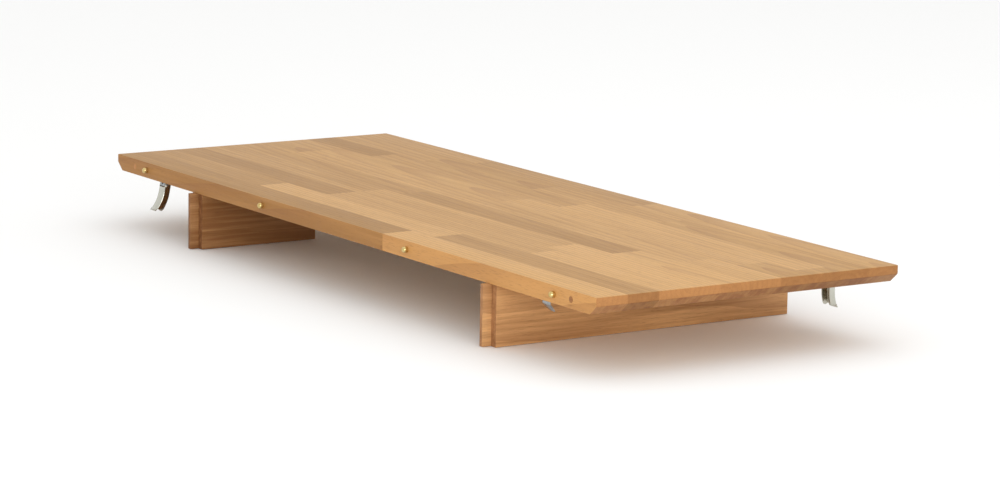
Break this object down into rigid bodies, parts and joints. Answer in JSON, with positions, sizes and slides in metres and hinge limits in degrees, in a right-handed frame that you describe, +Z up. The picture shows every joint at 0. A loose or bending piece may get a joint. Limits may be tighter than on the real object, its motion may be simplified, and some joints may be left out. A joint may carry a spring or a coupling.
{
  "type": "table extension leaf",
  "caption": "Solid oak extension leaf for a dining table, on two aprons, with brass alignment pins, lever latches and keepers on its long edges.",
  "frame": {"origin": "under the middle of the part's box, on the plane that the aprons stand on", "axes": "+X along the leaf towards the full-depth apron, -Y out of the edge with the pins, +Z up"},
  "size_m": [1.2, 0.454, 0.099],
  "materials": {
    "oak_panel": "satin",
    "oak_apron": "satin",
    "dowel_beech": "matte",
    "oak_plug": "satin",
    "brass": "polished",
    "chrome": "polished",
    "zinc_plate": "satin",
    "screw_steel": "satin"
  },
  "bodies": {
    "leaf": {"top_panel": "oak_panel", "left_apron": "oak_apron", "right_apron": "oak_apron", "left_apron_dowels": "dowel_beech", "right_apron_dowels": "dowel_beech", "left_apron_screws": "screw_steel", "right_apron_screws": "screw_steel", "pin_1": "brass", "pin_2": "brass", "pin_3": "brass", "pin_4": "brass", "socket_1": "brass", "socket_2": "brass", "socket_3": "brass", "socket_4": "brass", "left_edge_plug": "oak_plug", "right_edge_plug": "oak_plug", "near_latch_base": "zinc_plate", "near_latch_rivet": "screw_steel", "near_latch_screws": "screw_steel", "far_latch_base": "zinc_plate", "far_latch_rivet": "screw_steel", "far_latch_screws": "screw_steel", "near_keeper": "zinc_plate", "near_keeper_screws": "screw_steel", "far_keeper": "zinc_plate", "far_keeper_screws": "screw_steel"},
    "near_lever": {"near_latch_lever": "chrome"},
    "far_lever": {"far_latch_lever": "chrome"}
  },
  "joints": [
    {"name": "near_lever_hinge", "type": "hinge", "parent": "leaf", "child": "near_lever", "pos_m": [-0.492, -0.19925, 0.0705], "axis": [-1, 0, 0], "range_deg": [-101, 39]},
    {"name": "far_lever_hinge", "type": "hinge", "parent": "leaf", "child": "far_lever", "pos_m": [0.492, 0.20825, 0.0705], "axis": [1, 0, 0], "range_deg": [-82, 58]}
  ]
}
